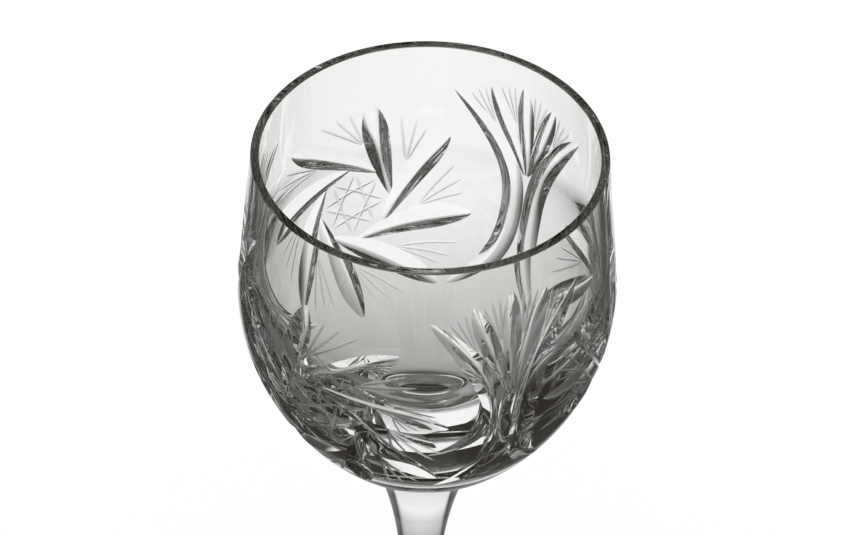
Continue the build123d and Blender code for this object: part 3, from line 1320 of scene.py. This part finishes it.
@dataclass(frozen=True)
class Studio:
    """A white table in a dark room, with a pool of light painted on the table behind the glass and
    two soft lamps.

    Clear glass shows only what lies around it. The painted pool of light gives it white middles, and
    the dark room gives it its dark edges and facets. Glass also shows painted light and shade on the
    table, dim near the glass and brighter farther off and towards the front, and a painted shadow under
    the stem. The camera itself sees white everywhere.
    """

    floor_half: float = 3.0
    floor_gap: float = 0.0003
    floor_white: float = 0.9
    shadow_share: float = 0.2
    # a painted pool of light on the table behind the glass, which glass shows
    pool_left: Point = (0.028, 0.5)
    pool_right: Point = (0.016, 0.54)
    pool_edge: float = 0.018
    pool_start: float = -0.1
    pool_rise: float = 0.224
    pool_bend: float = 2.5
    # painted light on the table outside the pool: dim near the glass, bright in a far ring, brighter towards
    # the front
    near_floor: float = 0.15
    far_floor: float = 1.0
    far_start: float = 0.2
    far_end: float = 1.3
    far_fade: float = 0.2
    front_lean: float = 0.4
    # a painted shadow on the table under the stem
    shade_radius: float = 0.014
    shade_fade: float = 0.016
    dark: Colour = (0.018, 0.015, 0.010)
    white: Colour = (1.0, 1.0, 1.0)
    fill: float = 1.1
    bounces: int = 24
    lamps: tuple[Lamp, ...] = (
        Lamp("overhead_lamp", 0.0, 72.0, (1.0, 0.8), 0.25),
        Lamp("room_lamp", 180.0, 9.0, (1.8, 0.36), 0.6),
    )

    def build(self) -> None:
        """Add the floor, the world and the lamps."""
        self._floor()
        self._world()
        for lamp in self.lamps:
            lamp.build()
        scene = bpy.context.scene
        scene.view_settings.view_transform = "Standard"
        scene.cycles.max_bounces = self.bounces
        scene.cycles.glossy_bounces = self.bounces
        scene.cycles.transmission_bounces = self.bounces
        scene.cycles.transparent_max_bounces = self.bounces

    @staticmethod
    def _rays(shader: Shader) -> tuple[Value, Value]:
        """Return masks of the rays that come from the camera and of those bent by glass.

        Args:
            shader: the tree.

        Returns:
            1 for a ray straight from the camera, and 1 for one by way of glass or gloss.
        """
        path = shader.node("ShaderNodeLightPath")
        bent = shader.value(path, "Is Glossy Ray").largest(shader.value(path, "Is Transmission Ray"))
        return shader.value(path, "Is Camera Ray"), bent

    def _painted_pool(self, shader: Shader) -> Value:
        """Return the table's painted light: full in the painted pool, some farther off, none in the painted
        shadow under the stem.

        Args:
            shader: the tree.

        Returns:
            The wrapped brightness, 0 to 1.
        """
        place = shader.node("ShaderNodeTexCoord").outputs["Object"]
        split = shader.node("ShaderNodeSeparateXYZ", {0: place})
        x = shader.value(split, "X")
        y = shader.value(split, "Y")
        # the painted pool of light, with soft sides, rising from the front to the back
        left = self.pool_left[0] + y * self.pool_left[1] + x
        right = self.pool_right[0] + y * self.pool_right[1] - x
        across = (left.smallest(right) / self.pool_edge + 0.5).clip()
        along = ((y - self.pool_start) / self.pool_rise).clip()
        radius = (x * x + y * y) ** 0.5
        # painted light farther off: a bright ring, and brighter towards the front
        band = (radius - self.far_start).smallest(self.far_end - radius) / self.far_fade
        even = self.near_floor + band.clip() * (self.far_floor - self.near_floor)
        plain = even * (1.0 - self.front_lean - y / (radius + self.floor_gap) * self.front_lean)
        pool = plain + across * along ** self.pool_bend * (1 - plain)
        # the painted shadow under the stem
        return pool * ((radius - self.shade_radius) / self.shade_fade).clip()

    def _floor(self) -> None:
        """Add the pale table top, which glows with painted light and shade for glass."""
        half = self.floor_half
        mesh = bpy.data.meshes.new("table")
        corners = [(-half, -half), (half, -half), (half, half), (-half, half)]
        mesh.from_pydata([(x, y, -self.floor_gap) for x, y in corners], [], [(0, 1, 2, 3)])
        shader, material = Shader.for_material("white_table")
        camera, bent = self._rays(shader)
        # glass sees the table's painted light, from the dark of painted shade to white; the camera sees
        # white
        shown = shader.node("ShaderNodeValToRGB", {0: self._painted_pool(shader).largest(camera)})
        for stop, colour in zip(shown.color_ramp.elements, (self.dark, self.white)):
            stop.color = (*colour, 1.0)
        pale = (self.floor_white, self.floor_white, self.floor_white, 1.0)
        matt = shader.node("ShaderNodeBsdfDiffuse", {"Color": pale})
        glow = shader.node("ShaderNodeEmission", {"Color": shown, "Strength": 1.0})
        # glass rays see only the painted glow; camera rays keep a share of real diffuse shadow
        share = bent.largest(camera * (1 - self.shadow_share))
        shader.end(shader.node("ShaderNodeMixShader", {0: share, 1: matt, 2: glow}))
        mesh.materials.append(material)
        add_object("table", mesh)

    def _world(self) -> None:
        """Add a room that the camera sees white, that glass shows dark and that lights evenly."""
        world = bpy.data.worlds.new("room")
        world.use_nodes = True
        bpy.context.scene.world = world
        shader = Shader(world.node_tree)
        camera, bent = self._rays(shader)
        even, plain, room = (
            shader.node("ShaderNodeBackground", {"Color": (*colour, 1.0), "Strength": strength})
            for colour, strength in ((self.white, self.fill), (self.white, 1.0), (self.dark, 1.0))
        )
        pale = shader.node("ShaderNodeMixShader", {0: camera, 1: even, 2: plain})
        shader.end(shader.node("ShaderNodeMixShader", {0: bent, 1: pale, 2: room}), "World")


def main() -> None:
    """Build the glass, piece by piece, and its studio."""
    logging.basicConfig(level=logging.INFO, format="%(message)s")
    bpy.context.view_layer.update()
    finishes = Finishes()
    bowl = Bowl(finishes)
    bowl_piece = bowl.blank()
    bowl.cut(bowl_piece, Pattern())
    pieces = [(bowl, bowl_piece)]
    for part in (Stem(finishes), Foot(finishes)):
        pieces.append((part, part.blank()))
    for part, piece in pieces:
        part.polish(piece)
        part.place(piece)
    PhotoCamera().build()
    Studio().build()


if __name__ == "__main__":
    main()
